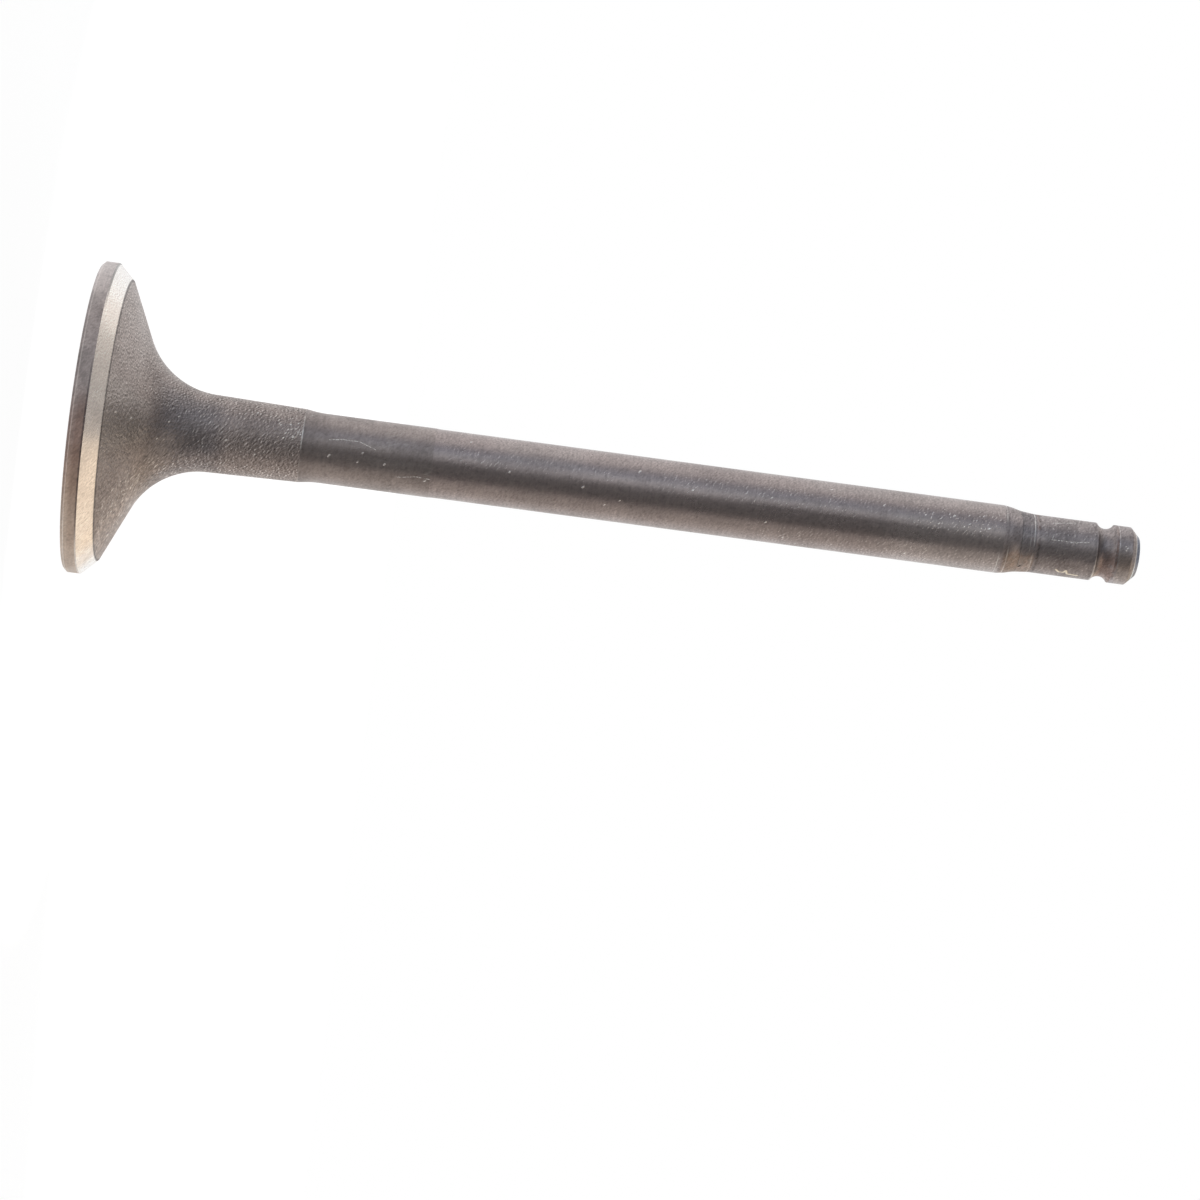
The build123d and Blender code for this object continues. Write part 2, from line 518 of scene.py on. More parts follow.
@effect("Ring line", "Mask", wear=0.5, at_height=0.0, width=0.1, broken=0.4)
def ring(w, place, wear, at_height, width, broken):
    """A line round the axis that wear breaks."""
    gap = w.math("ABSOLUTE", w.split(place)[2] - at_height)
    worn = w.spread(wear, 0.38, 0.6)
    return w.spread(gap, 0.0, width, 1.0, 0.0) * (1.0 - broken * (1.0 - worn))


def unrolled(w, place, radius):
    """The place on the unrolled stem: round the axis from the +X side, and up the axis."""
    x, y, z = w.split(place)
    return w.join(w.math("ARCTAN2", y, x) * radius, z, 0.0)


@effect("Scratch", "Mask", wear=0.5, grit=0.5, radius=4.0, start=None, end=None,
        width=0.08, waver=0.1)
def scratch(w, place, wear, grit, radius, start, end, width, waver):
    """A wavering, gritty line between two spots on the unrolled stem."""
    sway = (wear - 0.5) * (waver * 4.0)
    off = unrolled(w, place, radius) + w.join(sway, sway, 0.0) - start
    way = end - start
    along = w.math("DIVIDE", w.vector("DOT_PRODUCT", off, way),
                   w.vector("DOT_PRODUCT", way, way), clamp=True)
    gap = w.vector("DISTANCE", off, way * along)
    return w.spread(gap, width * 0.3, width, 1.0, 0.0) * w.spread(grit, 0.34, 0.58)


@effect("Nick", "Mask", grit=0.5, radius=4.0, spot=None, size=0.15)
def nick(w, place, grit, radius, spot, size):
    """A ragged spot on the unrolled stem."""
    across, up, _ = w.split(unrolled(w, place, radius) - spot)
    gap = w.vector("LENGTH", w.join((up - across) * NICK_LONG, (up + across) * NICK_WIDE, 0.0))
    return w.spread(grit * (size * 1.4) + gap, size * 1.6, size * 0.9)


@effect("Hairlines", "Mask", spacing=0.5, run=4.0, twist=0.1, width=0.02)
def hairlines(w, place, spacing, run, twist, width):
    """Long fine lines that wind a little about the axis, here and there."""
    x, y, z = w.split(place)
    cosine, sine = (w.math(kind, z * twist) for kind in ("COSINE", "SINE"))
    stretched = w.join((x * cosine - y * sine) / spacing, (x * sine + y * cosine) / spacing,
                       z / run)
    contour = w.math("ABSOLUTE", w.noise(stretched, 1.0, 1.0) - 0.5)
    here = w.spread(w.noise(place + (7.0, 3.0, 21.0), HAIRLINE_SPOTS, 3.0, 0.7), 0.50, 0.66)
    return w.spread(contour, 0.0, width, 1.0, 0.0) * here


# ---------------------------------------------------------------- the finishes
# Lengths are in millimetres and heights count from the combustion face. Turns and reaches are
# in degrees round the axis from the +X side; a row without them goes all round.
#
#   grain       size, depth, share of painted glints, painted light and shade on its slopes
#   turning     line spacing, depth, waver
#   rust        low, high, softness, patch size, cover
#   sides       turn, cosines off that turn where the tint starts and is full, tint, strength
#   zones       low, high, softness, patch size, cover, tint, strength, turn, reach
#   rings       height, width, how broken, strength, turn, reach; dark_rings are the same
#   hairlines   spacing, length, twist, width, strength
#   sparkles    painted highlights: low, high, softness, strength, turn, reach
#   scratches   lines of points: turn, height, width of the run that leads there; also rubs
#   nicks       turn, height, size, radius where it isn't the stem's; also dark_nicks

# Tints on the sides under the warm and the cool cards are painted reflections of those cards.
WARM, COOL = 90, -90                 # the turns of the sides under the warm and the cool cards
STEM_RADIUS = 4.0
USUAL_PARTS = dict(film="soot", fine=0.1, metal=0.85, turning=None, rust=None, line_share=0.12,
                   side_light=0.0, hollows=0.22, sides=(), zones=(), rings=(), dark_rings=(),
                   hairlines=(), sparkles=(), scratches=(), rubs=(), nicks=(), dark_nicks=())
# In the zones and rings below, the dark, cool, warm and bright tints are painted shade, reflection
# and highlights; rust is the steel's own.
FINISH_PARTS = {
    "turned_face": dict(steel="face_steel", film_share=0.6, patch=4, fine=0.15, rough=0.55,
        grain=(0.4, 0.008, 0, 0.8)),
    "rim_margin": dict(steel="margin_steel", film_share=0.26, patch=2.2, fine=0.14, rough=0.42,
        grain=(0.25, 0.006, 0.05, 0.7), turning=(0.25, 0.002, 0.02),
        # sides: painted warm reflection on the warm side, and pale painted light on the cool side
        sides=((WARM, 0, 0.5, "brown_film", 0.62), (14, 0.9, 0.99, "rust", 0.42),
               (COOL, 0.6, 1, (1, 0.93, 0.915), 0.38), (WARM, 0.15, 0.8, "sand_film", 0.8)),
        zones=((0.95, 1.8, 0.25, 3, 0.9, "rust", 0.2, 26, 40),
               (0.95, 1.8, 0.25, 3, 0.9, "soot", 0.1, 14, 34),
               (0.4, 1.8, 0.25, 3, 0.9, "soot", 0.14, -24, 30)),
        rings=((0.36, 0.08, 0.3, 0.25), (0.36, 0.08, 0.3, 0.5, 72, 48),
               (1.73, 0.14, 0.3, 0.6, 80, 40)),
        dark_rings=((1.7, 0.16, 0.3, 0.8, 14, 40), (0.16, 0.2, 0.3, 0.5, -4, 60)),
        nicks=((-0.4, 1.93, 0.22, 18),)),
    "ground_seat": dict(steel="seat_steel", film="straw", film_share=0.06, patch=2.6, fine=0.05,
        rough=0.27, metal=0.95, grain=(0.22, 0.005, 0, 0.7), turning=(0.16, 0.002, 0.05),
        line_share=0.05, side_light=0.18, hollows=0.04,
        # sides: painted warm reflection on the warm side, and near-white painted highlights on both
        # flanks
        sides=((WARM, -0.2, 0.8, "straw", 0.1), (WARM, 0.7, 0.92, "seat_warm_reflection", 0.34),
               (WARM, 0.93, 1, (1, 0.98, 0.95), 0.8), (COOL, 0.7, 1, (1, 0.97, 0.945), 0.8)),
        zones=((0.5, 4.6, 0.4, 40, 1, "straw", 0.12, 15, 24),
               (1.7, 1.94, 0.1, 9, 1, "soot", 0.7, COOL, 52)),
        dark_rings=((3.5, 0.09, 0.3, 0.75),)),
    "blasted_neck": dict(steel="blasted_steel", film_share=0.14, patch=3.4, rough=0.44,
        grain=(0.22, 0.13, 0.45, 1.5), side_light=1.2, hollows=0.14,
        sides=((WARM, 0, 0.9, "brown_film", 0.1), (COOL, 0.85, 1, "bright_edge", 0.05)),
        zones=((0, 5.2, 3.6, 40, 1, "sand_film", 0.62, WARM, 60),
               # painted light: the underhead lightened towards the seat
               (0, 5.6, 3, 40, 1, "ground_steel", 0.6),
               (0, 5.6, 3, 40, 1, "bright_edge", 0.12, -40, 75),
               (0, 5.8, 3, 40, 1, "bright_edge", 0.2, -3, 20),
               (0, 7, 3, 40, 1, "soot", 0.24, 24, 34),
               (9.8, 14.5, 2.8, 40, 1, "blue_film", 0.4, -8, 52),
               (8.5, 14.5, 2.4, 40, 1, "blue_film", 0.24, 42, 34),
               (9, 12, 2, 40, 1, "blue_film", 0.18, 20, 30),
               (20, 26, 2.5, 40, 1, "soot", 0.12, -7, 16)),
        rings=((25.07, 0.08, 0.8, 0.8, -22, 38), (25.07, 0.06, 0.9, 0.2)),
        dark_rings=((3.55, 0.1, 0.3, 0.7),),
        sparkles=((21.8, 25, 0.6, 1, -22, 36), (4, 24, 2, 0.7, -62, 50), (4, 24, 2, 0.9, 72, 46),
                  (13, 24, 2, 0.45, 0, 50)),
        nicks=((-2.7, 6.14, 0.2, 10.5), (-7, 10.03, 0.17, 6.2), (-15.7, 11, 0.18, 5.6),
               (-4, 4.64, 0.16, 13.8), (12.2, 8.96, 0.15, 6.8), (6.7, 16.6, 0.17, 4.45),
               # The nicks by the step, above 22 mm, also stand for the glints there: painted
               # highlights as well as marks
               (23.1, 20, 0.16, 4.37), (-44, 19.7, 0.16, 4.38), (-20, 24.6, 0.2, 4.3),
               (-11, 24.1, 0.19, 4.3), (-28, 22.5, 0.17, 4.3), (-25, 24.2, 0.16, 4.3),
               (-31, 23.6, 0.17, 4.3), (-16, 23.2, 0.16, 4.3), (-35, 24.5, 0.18, 4.3),
               (-22, 23.4, 0.14, 4.3), (-8, 23, 0.14, 4.3), (-17, 24.9, 0.15, 4.3))),
    "upper_stem": dict(steel="dull_steel", film_share=0.2, patch=4.5, rough=0.39, metal=0.9,
        grain=(0.26, 0.008, 0.06, 0.45), turning=(0.3, 0.002, 0.05), side_light=0.45,
        sides=((WARM, 0, 0.9, "straw", 0.2),),
        zones=((24, 50, 2, 40, 1, "soot", 0.14, -7, 16),
               (34, 41, 2, 40, 1, "bright_edge", 0.05, 14, 12)),
        rings=((25.12, 0.08, 0.85, 0.7, -22, 38), (25.12, 0.06, 0.9, 0.2)),
        hairlines=((0.9, 5, 0.12, 0.012, 0.3),),
        scratches=(((-15.5, 28.2), (-18.5, 29.6, 0.06), (-19, 31.6, 0.07), (-9, 33.6, 0.05)),
                   ((32.5, 36.1), (27, 38.6, 0.05), (29, 41.1, 0.06))),
        nicks=((10.3, 28.4, 0.21), (-1.2, 32.2, 0.17), (15.3, 31.7, 0.15), (13.1, 34.8, 0.18),
               (32.5, 39.6, 0.2))),
    "guide_stem": dict(steel="ground_steel", film_share=0.12, patch=6, fine=0.06, rough=0.32,
        metal=0.92, grain=(0.24, 0.012, 0.04, 0.45), turning=(0.22, 0.004, 0.03), side_light=0.8,
        sides=((WARM, 0, 0.9, "straw", 0.22),),
        zones=((96, 107, 5, 30, 1, "bright_edge", 0.11, 32, 62),
               (40, 47, 3, 40, 1, "soot", 0.12, -7, 16), (79, 99, 4, 40, 1, "soot", 0.17, -11, 15),
               (86, 107, 4, 40, 1, "bright_edge", 0.08, -72, 34),
               (49, 56, 3, 40, 1, "bright_edge", 0.06, -42, 26)),
        rings=((106.45, 0.08, 0.6, 0.75, 64, 50),),
        hairlines=((0.8, 4, -0.2, 0.008, 0.18),),
        sparkles=((98.5, 106.6, 4, 1, -22, 27), (102, 106.6, 1.5, 1, -24, 24),
                  (90, 97, 3, 0.25, -24, 24), (68, 88, 4, 0.45, -21, 22), (44, 60, 3, 0.4, -16, 18),
                  (80, 105, 4, 0.35, 55, 40)),
        nicks=((-1.9, 49.1, 0.21), (6.1, 57.7, 0.18), (-33.8, 64, 0.22), (-12.6, 70.3, 0.2),
               (20.5, 62.1, 0.16), (32.4, 60.4, 0.14), (-48.1, 44.3, 0.17), (24.4, 79.1, 0.21),
               (51.5, 81.4, 0.17), (66, 83, 0.17), (50.8, 95.7, 0.18), (-14.6, 104.9, 0.26),
               (-29.7, 100.8, 0.21), (-31.8, 92.5, 0.18), (-50.6, 86.3, 0.17), (-17.3, 79.4, 0.18),
               (-18, 102.6, 0.19), (-36, 104.2, 0.18), (-8, 103.9, 0.17), (-24, 97.4, 0.17),
               (-12, 99, 0.16))),
    "run_out": dict(steel="tip_steel", film_share=0.25, patch=2, rough=0.42, metal=0.8,
        grain=(0.24, 0.014, 0.08, 0.8), turning=(0.3, 0.004, 0.04), side_light=0.9,
        rust=(109.9, 110.6, 0.35, 0.5, 0.28),
        sides=((WARM, 0.45, 0.95, "rust", 0.12),),
        zones=((109, 110.5, 0.35, 1.2, 0.9, "blue_film", 0.36, -20, 75),
               (107.5, 108.9, 0.3, 5, 1, "soot", 0.24, 34, 50),
               (107.3, 110.5, 0.5, 0.6, 0.6, "orange_rust", 0.3, 64, 54),
               (107.3, 110.5, 0.4, 5, 1, "sand_film", 0.42, 66, 50)),
        rings=((107.4, 0.08, 0.6, 0.75, 64, 60), (107, 0.08, 0.6, 0.8, -66, 42),
               (109, 0.08, 0.8, 0.45, 40, 80), (109.95, 0.06, 0.8, 0.5, -14, 40),
               (110.38, 0.11, 0.6, 0.9, -52, 66), (110.38, 0.1, 0.6, 0.65, 62, 50)),
        dark_rings=((107.2, 0.25, 0.5, 0.35, -40, 110), (108.95, 0.12, 0.5, 0.5, 20, 100)),
        dark_nicks=((52.2, 109.2, 0.3, 3.5),)),
    "collet_seat": dict(steel="tip_steel", film_share=0.24, patch=2.4, fine=0.12, rough=0.41,
        metal=0.8, grain=(0.26, 0.014, 0.06, 0.8), turning=(0.35, 0.002, 0.08), side_light=0.6,
        rust=(110.6, 110.9, 0.3, 0.5, 0.35),
        sides=((WARM, 0.2, 0.95, "straw", 0.25),),
        zones=((111, 117.6, 0.3, 5, 1, "blue_film", 0.13, -22, 60),
               (110.9, 117, 0.8, 5, 1, "soot", 0.08, 54, 40)),
        rings=((117.8, 0.09, 0.5, 0.9, 62, 60),),
        dark_rings=((111, 0.25, 0.5, 0.4), (117.6, 0.2, 0.4, 0.2)),
        sparkles=((111.5, 117.5, 0.5, 0.5, -50, 50), (111.5, 117.5, 0.5, 0.3, 45, 50)),
        scratches=(((-11.8, 112.3), (-12.8, 113.9, 0.09), (-11, 115.4, 0.08)),
                   ((-12.5, 114.6), (-15.9, 116.8, 0.09)), ((-50, 112.3), (-62, 115.2, 0.1))),
        rubs=(((52, 113.55), (57.5, 113.9, 0.19), (58, 114.5, 0.17), (50.5, 114.7, 0.17),
               (61.5, 114.95, 0.17), (63.5, 116.2, 0.2)),)),
    "keeper_groove": dict(steel="tip_steel", film_share=0.36, patch=1.6, rough=0.45, metal=0.8,
        grain=(0.24, 0.012, 0.05, 0.8), turning=(0.22, 0.003, 0.05), side_light=0.8,
        zones=((117.9, 118.8, 0.4, 1.5, 0.9, "blue_film", 0.36, 4, 66),
               (118.6, 120.1, 0.6, 1.2, 0.8, "orange_rust", 0.32, 60, 75)),
        rings=((117.9, 0.1, 0.5, 1, 62, 60),)),
    "tip_land": dict(steel="tip_steel", film_share=0.34, patch=1.8, rough=0.38, metal=0.84,
        grain=(0.24, 0.012, 0.06, 0.8), turning=(0.3, 0.003, 0.05), side_light=0.8,
        zones=((120.12, 120.24, 0.14, 0.5, 0.7, "rust", 0.38, 12, 52),
               (120.1, 120.26, 0.12, 0.6, 0.6, "rust", 0.2),
               (120.6, 121.9, 0.3, 3, 1, "blue_film", 0.16, -34, 50),
               (120.6, 121.9, 0.3, 1.6, 0.9, "sand_film", 0.42, 50, 62),
               (120.2, 122.3, 0.3, 9, 1, "cold_edge", 0.08, 70, 50),
               (121.98, 122.38, 0.08, 5, 1, "soot", 0.26, 55, 60),
               (122.6, 123.1, 0.1, 5, 1, "slate_film", 0.8),
               (122.46, 122.54, 0.07, 0.5, 0.8, "cold_edge", 0.95, 75, 70)),
        rings=((120.42, 0.08, 0.85, 0.8, -30, 62), (122.5, 0.13, 0.5, 1, -35, 75)),
        nicks=((-14.2, 121.3, 0.17, 3.4), (-10, 121.15, 0.12, 3.4), (-18, 121.1, 0.12, 3.4))),
    "tip_end": dict(steel="dull_steel", film_share=0.3, patch=1.5, rough=0.36, metal=0.92,
        grain=(0.26, 0.006, 0.1, 1),
        # a painted highlight round the edge of the end
        zones=((122.9, 122.99, 0.01, 5, 1, "bright_edge", 0.8),)),
}

ALL_ROUND = 180.0
FULL_SHARE = 0.55                    # part of a sector's reach that has its whole strength
FLANK_START = 0.1                    # cosine where the painted light on the flanks' grain starts
WEAR_NOISE, GRIT_NOISE = (1.3, 3.0, 0.65), (5.5, 1.0, 0.5)   # per millimetre, detail, roughness
SCRATCH_WAVER = 0.05
SPARKLE_PATCH, SPARKLE_COVER = 2.5, 0.75
GLINT_TINT, RUST_TINT, BARE_AND_HIGHLIGHT_TINT, PIT_TINT = 0.75, 0.8, 0.85, 0.8
PATCH_ROUGH, GLINT_ROUGH, RUST_ROUGH, BARE_AND_HIGHLIGHT_ROUGH = 0.10, -0.12, 0.22, -0.10   # added roughness
RUST_METAL = -0.6                                                             # added metal
SPARKLE_RISE, SCRATCH_RISE, RUB_RISE, PIT_RISE = 0.025 * MM, 0.03 * MM, 0.05 * MM, -0.04 * MM


def strongest(w, masks):
    """The highest of several masks."""
    return reduce(lambda one, other: w.math("MAXIMUM", one, other), masks)


def sector(w, place, strength, turn=0.0, reach=ALL_ROUND):
    """That strength on the part of the round within reach of a turn."""
    if reach >= ALL_ROUND:
        return strength
    return facing(w, place, radians(turn), cos(radians(reach)),
                  cos(radians(FULL_SHARE * reach))) * strength


def spot_at(turn, height, radius=STEM_RADIUS):
    """A spot on the unrolled stem."""
    return radians(turn) * radius, height, 0.0


def line_masks(w, place, wear, grit, lines):
    """Masks of the runs of scratched lines."""
    masks = []
    for line in lines:
        for before, (turn, height, width) in zip(line, line[1:]):
            masks.append(scratch(w, place, wear, grit, STEM_RADIUS, spot_at(*before[:2]),
                                 spot_at(turn, height), width, SCRATCH_WAVER))
    return masks


def nick_mask(w, place, grit, turn, height, size, radius=STEM_RADIUS):
    """Mask of one nick."""
    return nick(w, place, grit, radius, spot_at(turn, height, radius), size)


def make_finish(name, colours):
    """One steel: mottled metal with grain, turning lines, rust, rings, scratches and nicks, and
    painted light, shade, glints and reflections.
    """
    parts = {**USUAL_PARTS, **FINISH_PARTS[name]}
    material = bpy.data.materials.new(name)
    material.use_nodes = True
    w = Wiring(material.node_tree)
    place = w.put("ShaderNodeTexCoord", "Object") * (1.0 / MM)
    wear = w.noise(place, *WEAR_NOISE)
    grit = w.noise(place, *GRIT_NOISE)

    def tinted(shade, mask, tint):
        return w.tint(mask, shade, getattr(colours, tint) if isinstance(tint, str) else tint)

    def rings(rows):
        return [ring(w, place, wear, height, width, broken) * sector(w, place, *where)
                for height, width, broken, *where in rows]

    shade, patches = mottle(w, place, getattr(colours, parts["steel"]),
                            getattr(colours, parts["film"]), parts["patch"],
                            parts["film_share"], parts["fine"])
    rough = (patches - 0.5) * PATCH_ROUGH + parts["rough"]
    metal = parts["metal"]
    # Side tints; those under the warm and the cool cards are painted reflections of them
    for turn, start, full, tint, strength in parts["sides"]:
        shade = tinted(shade, facing(w, place, radians(turn), start, full) * strength, tint)
    # Patchy zones of rust and film, and of painted shade, reflection and light
    for low, high, soft, patch, cover, tint, *where in parts["zones"]:
        mask = bloom(w, place, low, high, soft, patch, cover) * sector(w, place, *where)
        shade = tinted(shade, mask, tint)

    size, depth, glint_share, slope_light = parts["grain"]
    height, light, glints, sparks, hollows = grain(w, place, size, depth, glint_share)
    heights = [height]
    # Darker in the grain's hollows
    shade = tinted(shade, hollows * parts["hollows"], "soot")
    # Painted light and shade on the grain's slopes, stronger on the flanks under the cards
    if parts["side_light"]:
        flanks = [facing(w, place, side, FLANK_START, 1.0) for side in (-pi / 2, pi / 2)]
        slope_light = strongest(w, flanks) * parts["side_light"] + slope_light
    shade = shade * (light * slope_light + 1.0)
    # Painted glints, in the highlight colour
    if glint_share:
        shade = tinted(shade, glints * GLINT_TINT, "bright_edge")
        rough = glints * GLINT_ROUGH + rough
    if parts["turning"]:
        height, lines = turning(w, place, *parts["turning"])
        heights.append(height)
        shade = tinted(shade, lines * parts["line_share"], "soot")
    if parts["rust"]:
        rust = bloom(w, place, *parts["rust"])
        shade = tinted(shade, rust * RUST_TINT, "rust")
        rough = rust * RUST_ROUGH + rough
        metal = rust * RUST_METAL + metal

    bare_and_highlight = [hairlines(w, place, *line) * strength for *line, strength in parts["hairlines"]]
    # Bright rings: worn edges, and painted highlights where the edges catch the light
    bare_and_highlight += rings(parts["rings"])
    # Sparkles: painted highlights from the grain's sparks, each with a small swell
    for low, high, soft, *where in parts["sparkles"]:
        patch = bloom(w, place, low, high, soft, SPARKLE_PATCH, SPARKLE_COVER)
        bare_and_highlight.append(sparks * (patch * sector(w, place, *where)))
        heights.append(bare_and_highlight[-1] * SPARKLE_RISE)
    for masks in (line_masks(w, place, wear, grit, parts["scratches"]),
                  [nick_mask(w, place, grit, *row) for row in parts["nicks"]]):
        if masks:
            bare_and_highlight.append(strongest(w, masks))
            heights.append(bare_and_highlight[-1] * SCRATCH_RISE)
    # Bare steel of hairlines, scratches and nicks, with the painted highlights of sparkles and
    # bright rings
    if bare_and_highlight:
        bare_and_highlight = strongest(w, bare_and_highlight)
        shade = tinted(shade, bare_and_highlight * BARE_AND_HIGHLIGHT_TINT, "bright_edge")
        rough = bare_and_highlight * BARE_AND_HIGHLIGHT_ROUGH + rough
    if parts["rubs"]:
        rubs = strongest(w, line_masks(w, place, wear, 1.0, parts["rubs"]))
        shade = tinted(shade, rubs, "brass_rub")
        heights.append(rubs * RUB_RISE)
    # Dark rings: painted shade along edges and steps
    for mask in rings(parts["dark_rings"]):
        shade = tinted(shade, mask, "soot")
    if parts["dark_nicks"]:
        pits = strongest(w, [nick_mask(w, place, grit, *row) for row in parts["dark_nicks"]])
        shade = tinted(shade, pits * PIT_TINT, "soot")
        heights.append(pits * PIT_RISE)

    relief = w.put("ShaderNodeBump", height=sum(heights[1:], heights[0]), strength=1.0,
                   distance=1.0)
    steel = material.node_tree.nodes["Principled BSDF"]
    for socket, value in (("Base Color", shade), ("Roughness", rough), ("Metallic", metal),
                          ("Normal", relief)):
        w.feed(steel, socket, value)
    return material


# ---------------------------------------------------------------- the lathe

MERGE_DISTANCE = 0.001 * MM          # closes the seam and the two ends
SEED_STEP = 0.013                    # metres between the patterns of two seeds
FORGING_FADE = 0.6 * MM              # the unevenness dies away towards the neck's two ends


def lathe_tree(materials):
    """Turns an outline of points round the Z axis and gives each band its finish."""
    tree = bpy.data.node_groups.new("Lathe", "GeometryNodeTree")
    sockets = {}
    for name, kind in (("Outline", "Geometry"), ("Segments", "Int"), ("Forging depth", "Float"),
                       ("Forging grain", "Float"), ("Seed", "Int")):
        sockets[name] = tree.interface.new_socket(name=name, in_out="INPUT",
                                                  socket_type="NodeSocket" + kind).identifier
    tree.interface.new_socket(name="Body", in_out="OUTPUT", socket_type="NodeSocketGeometry")
    w = Wiring(tree)
    outline, segments, forging_depth, forging_grain, seed = w.given()

    def put(kind, **inputs):
        return w.put("GeometryNode" + kind, **inputs)

    def named(name, kind):
        return w.put("GeometryNodeInputNamedAttribute", 0, {"data_type": kind}, name=name)

    def from_outline(value, kind, index):
        return w.put("GeometryNodeSampleIndex", 0, {"data_type": kind, "domain": "POINT"},
                     geometry=outline, value=value, index=index)

    def keep(geometry, name, value, kind, domain):
        return w.put("GeometryNodeStoreNamedAttribute", 0, {"data_type": kind, "domain": domain},
                     geometry=geometry, name=name, value=value)

    count = w.put("GeometryNodeAttributeDomainSize", "Point Count", {"component": "MESH"},
                  geometry=outline)
    # The flat sheet spans -0.5 to 0.5 both ways, a row of vertices for each outline point.
    sheet = put("MeshGrid", size_x=1.0, size_y=1.0, vertices_x=count, vertices_y=segments + 1.0)
    place = put("InputPosition")
    across, along, _ = w.split(place)
    row = w.math("ROUND", (across + 0.5) * (count - 1.0))
    sheet = keep(sheet, "row", row, "FLOAT", "POINT")
    stored_row = named("row", "FLOAT")
    forged = from_outline(named("forged", "FLOAT"), "FLOAT", stored_row)
    sheet = keep(sheet, "forged", forged, "FLOAT", "POINT")
    finish = from_outline(named("finish", "INT"), "INT", w.math("FLOOR", stored_row))
    sheet = keep(sheet, "finish", finish, "INT", "FACE")
    radius, _, height = w.split(from_outline(place, "FLOAT_VECTOR", row))
    turn = (along + 0.5) * (2 * pi)
    turned = w.join(radius * w.math("COSINE", turn), radius * w.math("SINE", turn), height)
    body = put("SetPosition", geometry=sheet, position=turned)
    body = put("MergeByDistance", geometry=body, distance=MERGE_DISTANCE)
    body = put("FlipFaces", mesh=body)

    uneven = w.noise(place + w.join(seed * SEED_STEP, 0.0, 0.0), 1.0 / forging_grain)
    swell = (uneven - 0.5) * forging_depth * named("forged", "FLOAT")
    body = put("SetPosition", geometry=body, offset=put("InputNormal") * swell)
    body = w.put("GeometryNodeSetShadeSmooth", 0, {"domain": "FACE"}, geometry=body,
                 shade_smooth=True)
    body = put("RealizeInstances", geometry=body)
    for number, material in enumerate(materials):
        chosen = w.put("FunctionNodeCompare", 0, {"data_type": "INT", "operation": "EQUAL"},
                       a=named("finish", "INT"), b=number)
        body = put("SetMaterial", geometry=body, selection=chosen, material=material)
    w.feed(tree.nodes.new("NodeGroupOutput"), "Body", body)
    return tree, sockets


class VALVE_OT_turn_body(bpy.types.Operator):
    """Turns the one-piece valve: head, neck, stem, keeper groove and tip"""
    bl_idname = "valve.turn_body"
    bl_label = "Turn the valve body"

    def execute(self, context):
        shape = context.scene.valve_shape
        materials = [make_finish(name, context.scene.valve_finish) for name in FINISHES]
        body = bpy.data.objects.new("valve_body", self.draw_outline(shape))
        context.scene.collection.objects.link(body)
        tree, sockets = lathe_tree(materials)
        lathe = body.modifiers.new("Lathe", "NODES")
        lathe.node_group = tree
        for name in ("Segments", "Forging depth", "Forging grain", "Seed"):
            lathe[sockets[name]] = getattr(shape, name.replace(" ", "_").lower())
        context.view_layer.update()
        depsgraph = context.evaluated_depsgraph_get()
        turned = bpy.data.meshes.new_from_object(body.evaluated_get(depsgraph),
                                                 depsgraph=depsgraph)
        body.modifiers.remove(lathe)
        body.data = turned
        turned.name = "valve_body"
        turned.materials.pop(index=0)           # the outline's empty slot
        for spare in ("row", "forged"):
            if spare in turned.attributes:
                turned.attributes.remove(turned.attributes[spare])
        if len(turned.polygons) < shape.segments:
            raise RuntimeError("the lathe made no body")
        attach(body, "root")
        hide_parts("valve")
        return {"FINISHED"}

    def draw_outline(self, shape):
        """The outline's points, each with its finish and its share of the forging's unevenness."""
        rows = turned_outline(shape)
        outline = bpy.data.meshes.new("valve_outline")
        outline.from_pydata([(point.x, 0.0, point.y) for point, _ in rows],
                            [(k, k + 1) for k in range(len(rows) - 1)], [])
        neck = FINISHES.index("blasted_neck")
        neck_points = [point for point, number in rows if number == neck]
        forged = []
        for point, number in rows:
            ends = min((point - end).length for end in (neck_points[0], neck_points[-1]))
            forged.append(min(1.0, ends / FORGING_FADE) if number == neck else 0.0)
        for name, kind, values in (("finish", "INT", [number for _, number in rows]),
                                   ("forged", "FLOAT", forged)):
            outline.attributes.new(name, kind, "POINT")
            outline.attributes[name].data.foreach_set("value", values)
        return outline


# ---------------------------------------------------------------- the studio

